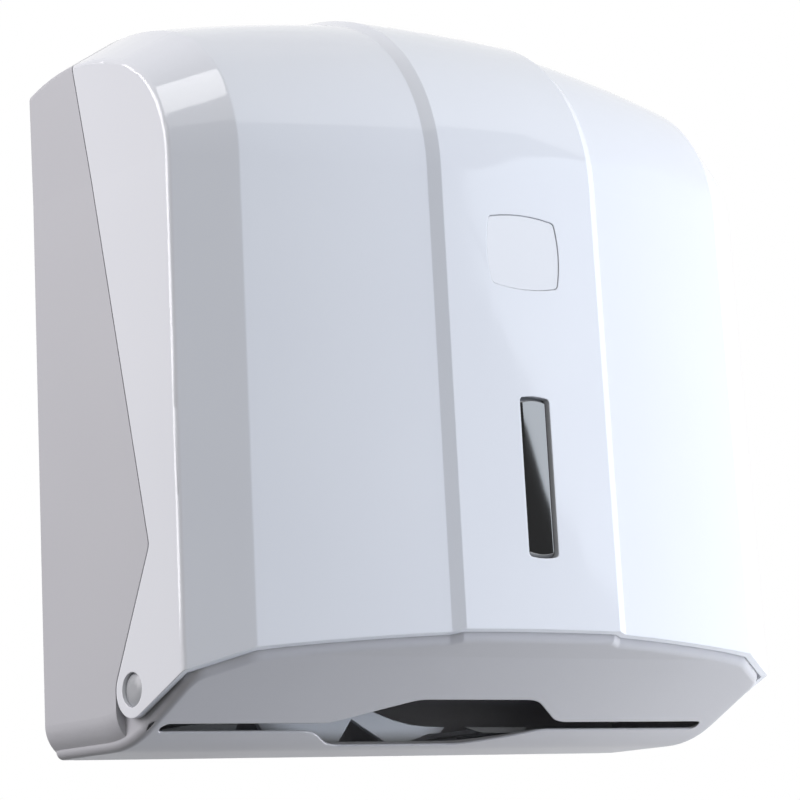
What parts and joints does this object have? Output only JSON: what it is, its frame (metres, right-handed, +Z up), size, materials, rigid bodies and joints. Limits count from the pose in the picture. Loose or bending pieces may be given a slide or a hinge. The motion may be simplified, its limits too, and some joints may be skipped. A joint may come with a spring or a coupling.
{
  "type": "folded paper towel dispenser",
  "caption": "Wall-mounted dispenser for folded paper towels: white bowed cover hinged at the bottom on a grey rear housing with a sloping tray, slot and level window.",
  "frame": {"origin": "on the flat wall face of the back housing, on the middle line, 120 mm above its bottom edge", "axes": "+X to the right as seen from the room, +Y into the wall, +Z up"},
  "size_m": [0.2746, 0.1152, 0.2748],
  "materials": {
    "housing_grey": "satin moulded ABS",
    "cover_white": "gloss moulded ABS",
    "window_smoke": "polished smoked polycarbonate",
    "pin_grey": "satin acetal",
    "latch_black": "fine matt acetal",
    "zinc_steel": "zinc-plated",
    "spring_steel": "bright drawn wire",
    "washer_rubber": "matt"
  },
  "bodies": {
    "housing": {"back_housing": "housing_grey", "towel_stop": "housing_grey", "stop_strip": "housing_grey", "stop_screws": "zinc_steel", "wall_washers": "washer_rubber", "hinge_pin_left": "pin_grey", "hinge_pin_right": "pin_grey", "hinge_clip_left": "spring_steel", "hinge_clip_right": "spring_steel", "latch_guide": "latch_black", "latch_cap": "latch_black", "latch_screws": "zinc_steel", "latch_spring": "spring_steel", "key_bush": "latch_black"},
    "cover": {"front_cover": "cover_white", "level_window": "window_smoke", "window_retainer": "latch_black", "retainer_screws": "zinc_steel", "badge_inlay": "cover_white", "catch_plate": "zinc_steel", "catch_hook": "zinc_steel", "catch_screws": "zinc_steel"},
    "latch": {"latch_slide": "latch_black"}
  },
  "joints": [
    {"name": "cover_hinge", "type": "hinge", "parent": "housing", "child": "cover", "pos_m": [0, -0.0562, -0.1002], "axis": [1, 0, 0], "range_deg": [0, 90]},
    {"name": "latch_lift", "type": "slide", "parent": "housing", "child": "latch", "axis": [0, 0, 1], "range_m": [0, 0.005], "deforming": ["latch_spring"]}
  ]
}
